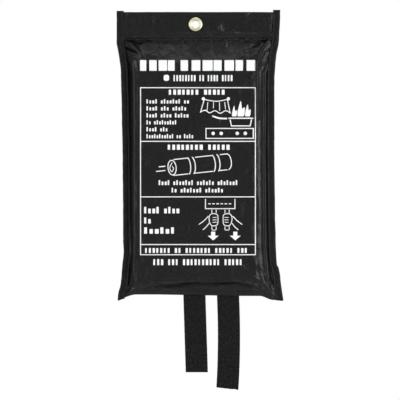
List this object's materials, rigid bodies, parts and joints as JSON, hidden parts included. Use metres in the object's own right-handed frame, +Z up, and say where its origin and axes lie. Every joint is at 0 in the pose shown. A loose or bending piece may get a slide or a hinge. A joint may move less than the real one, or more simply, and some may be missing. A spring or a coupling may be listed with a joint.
{
  "type": "fire blanket in a hanging pouch",
  "caption": "Folded glass-fibre fire blanket in a flat black cloth pouch that hangs from a brass eyelet and opens at the bottom when its pull tabs are drawn down.",
  "frame": {"origin": "middle of the eyelet's hole, in the plane of the pouch's side seams", "axes": "+Z up as the pouch hangs, +Y towards the wall behind it, so the printed front faces -Y; +X to the right seen from the front"},
  "size_m": [0.1846, 0.021, 0.4274],
  "materials": {
    "pouch_cloth": "satin",
    "binding_tape": "matte",
    "thread": "matte",
    "tab_webbing": "matte",
    "eyelet_brass": "polished",
    "glass_cloth": "matte",
    "print_white": "matte"
  },
  "bodies": {
    "pouch": {"front_panel": "pouch_cloth", "back_panel": "pouch_cloth", "header_band": "pouch_cloth", "header_stitch": "thread", "left_binding": "binding_tape", "right_binding": "binding_tape", "left_binding_stitch": "thread", "right_binding_stitch": "thread", "eyelet": "eyelet_brass", "eyelet_washer": "eyelet_brass"},
    "front_lip": {"front_lip": "pouch_cloth", "front_hem_stitch": "thread"},
    "back_lip": {"back_lip": "pouch_cloth", "back_hem_stitch": "thread"},
    "blanket": {"folded_blanket": "glass_cloth", "left_tab_anchor": "tab_webbing", "left_tab_stitch": "thread", "right_tab_anchor": "tab_webbing", "right_tab_stitch": "thread"},
    "left_tab": {"left_pull_tab": "tab_webbing"},
    "right_tab": {"right_pull_tab": "tab_webbing"}
  },
  "joints": [
    {"name": "blanket_pull", "type": "slide", "parent": "pouch", "child": "blanket", "axis": [0, 0, -1], "range_m": [0, 0.285]},
    {"name": "front_lip_open", "type": "hinge", "parent": "pouch", "child": "front_lip", "pos_m": [0.0027, -0.01015, -0.2901], "axis": [-1, 0, 0], "range_deg": [0, 32], "deforming": ["front_lip", "front_hem_stitch"]},
    {"name": "back_lip_open", "type": "hinge", "parent": "pouch", "child": "back_lip", "pos_m": [0.0027, 0.01015, -0.2901], "axis": [1, 0, 0], "range_deg": [0, 32], "deforming": ["back_lip", "back_hem_stitch"]},
    {"name": "left_tab_swing", "type": "hinge", "parent": "blanket", "child": "left_tab", "pos_m": [-0.0012, 0, -0.309], "axis": [1, 0, 0], "range_deg": [-80, 80]},
    {"name": "right_tab_swing", "type": "hinge", "parent": "blanket", "child": "right_tab", "pos_m": [0.0366, 0, -0.309], "axis": [1, 0, 0], "range_deg": [-80, 80]}
  ],
  "couplings": [
    {"joint": "front_lip_open", "follows": "blanket_pull", "rad_per_m": 1.9596},
    {"joint": "back_lip_open", "follows": "blanket_pull", "rad_per_m": 1.9596}
  ]
}
